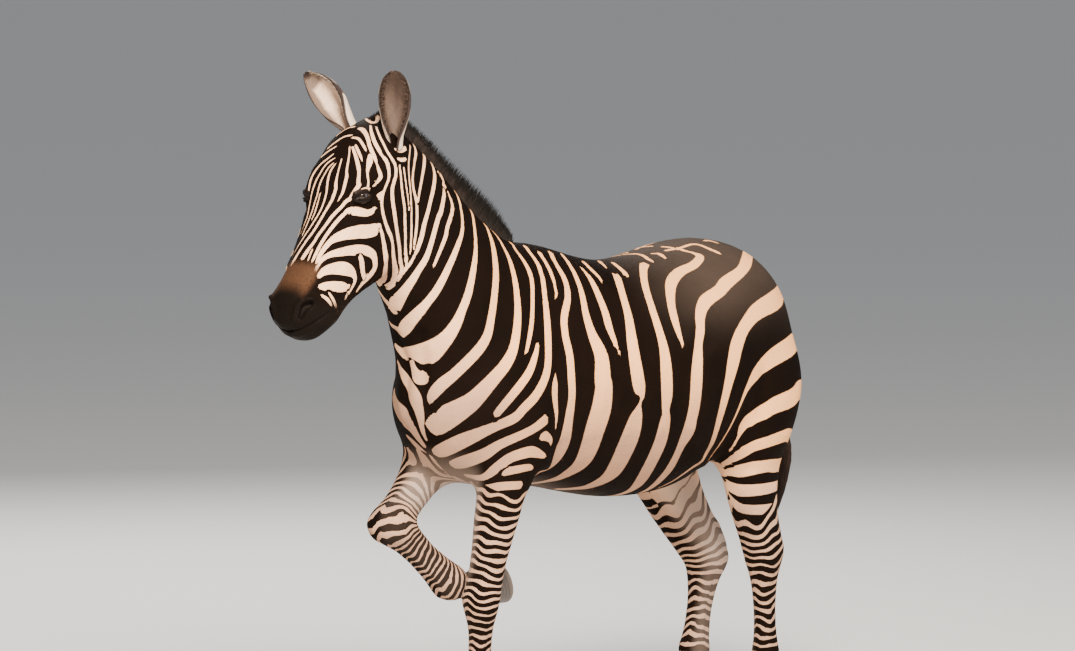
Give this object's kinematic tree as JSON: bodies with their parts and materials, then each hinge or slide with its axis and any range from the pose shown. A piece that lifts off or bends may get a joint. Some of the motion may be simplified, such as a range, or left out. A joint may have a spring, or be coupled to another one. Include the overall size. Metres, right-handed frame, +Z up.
{
  "type": "zebra model",
  "caption": "Life-size still model of a plains zebra walking with one foreleg raised, striped all over, with a short upright mane and a tufted tail.",
  "frame": {"origin": "centre of the bounding box's base, on the ground under the barrel", "axes": "+X towards the tail, -X the way the zebra faces, -Y its left side, +Z up"},
  "size_m": [1.9782, 0.5461, 1.6997],
  "materials": {
    "body_coat": "short flat hair in dark brown-black and cream stripes",
    "head_coat": "short flat hair in narrow stripes, with a black muzzle and a brown patch above it",
    "ear_coat": "short hair, grey-brown inside, dark at the rim",
    "mane_hair": "stiff standing hair, dark with pale sections",
    "tail_hair": "long dark brown hair",
    "eye": "dark brown, moist and shiny",
    "hoof": "dark grey-brown horn, worn"
  },
  "bodies": {
    "root": {"ear_left": "ear_coat", "ear_right": "ear_coat", "eye_left": "eye", "eye_right": "eye", "foreleg_left_lower": "body_coat", "foreleg_left_upper": "body_coat", "foreleg_right_lower": "body_coat", "foreleg_right_upper": "body_coat", "head": "head_coat", "hindleg_left_lower": "body_coat", "hindleg_left_upper": "body_coat", "hindleg_right_lower": "body_coat", "hindleg_right_upper": "body_coat", "hoof_foreleg_left": "hoof", "hoof_foreleg_right": "hoof", "hoof_hindleg_left": "hoof", "hoof_hindleg_right": "hoof", "mane": "mane_hair", "neck": "body_coat", "tail": "body_coat", "tail_tuft": "tail_hair", "trunk": "body_coat"}
  },
  "joints": []
}
